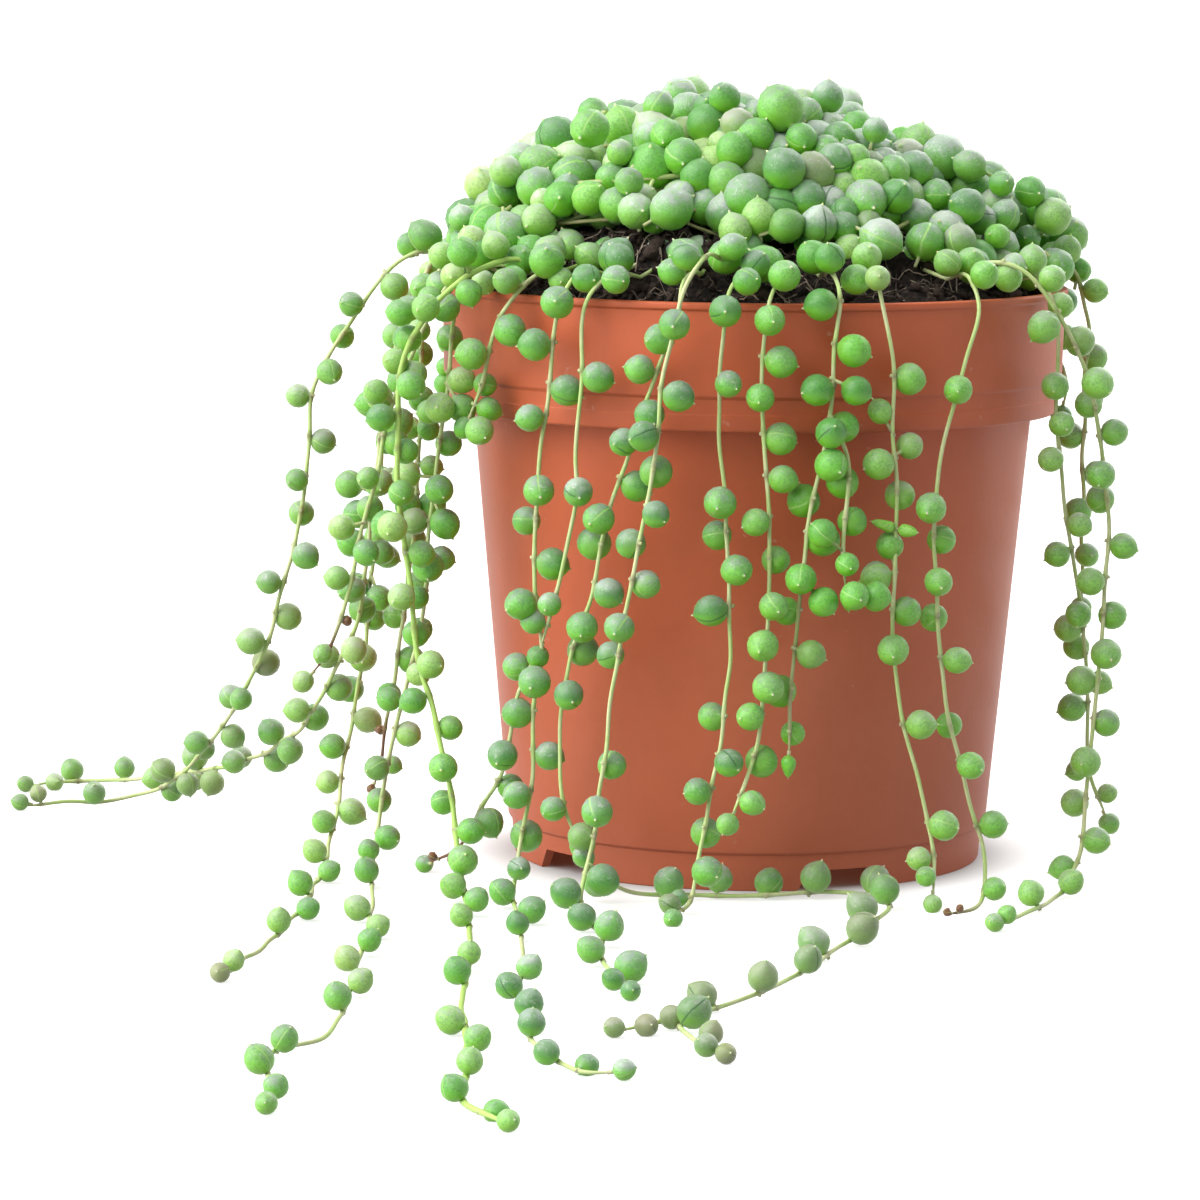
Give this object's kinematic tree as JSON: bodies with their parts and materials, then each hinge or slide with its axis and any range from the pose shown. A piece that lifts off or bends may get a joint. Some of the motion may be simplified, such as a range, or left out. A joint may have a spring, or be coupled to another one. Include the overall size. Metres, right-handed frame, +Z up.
{
  "type": "potted string of pearls",
  "caption": "Terracotta nursery pot of soil with a dense dome of round pearl leaves and thin strands of them that trail over the rim and along the floor.",
  "frame": {"origin": "centre of the pot's base, on the surface it stands on", "axes": "+Z up along the pot's axis, -Y towards the front, where most of the trailing strands lie"},
  "size_m": [0.2387, 0.3363, 0.1598],
  "materials": {
    "pot_plastic": "satin terracotta moulded plastic",
    "soil": "dark fibrous peat, matt",
    "crown_leaves": "waxy green leaves with a greyish bloom",
    "strand_leaves": "waxy green leaves on pale green stems"
  },
  "bodies": {
    "root": {"pot": "pot_plastic", "soil": "soil", "crown": "crown_leaves", "strand_left_outer": "strand_leaves", "strand_left_sweep": "strand_leaves", "strand_left_dry_tip": "strand_leaves", "strand_left_back": "strand_leaves", "strand_left_long": "strand_leaves", "strand_left_bright": "strand_leaves", "strand_left_inner": "strand_leaves", "strand_left_short": "strand_leaves", "strand_front_left": "strand_leaves", "strand_front_pale": "strand_leaves", "strand_front_full": "strand_leaves", "strand_middle_left": "strand_leaves", "strand_middle": "strand_leaves", "strand_middle_forked": "strand_leaves", "strand_front_right": "strand_leaves", "strand_right_wavy": "strand_leaves", "strand_right_outer": "strand_leaves", "strand_right_inner": "strand_leaves", "strand_right_back": "strand_leaves", "strand_back_1": "strand_leaves", "strand_back_2": "strand_leaves", "strand_back_3": "strand_leaves", "strand_back_4": "strand_leaves", "strand_back_5": "strand_leaves", "strand_back_6": "strand_leaves", "strand_back_7": "strand_leaves", "strand_back_8": "strand_leaves", "strand_back_9": "strand_leaves", "strand_back_10": "strand_leaves", "strand_back_11": "strand_leaves", "strand_back_12": "strand_leaves"}
  },
  "joints": []
}
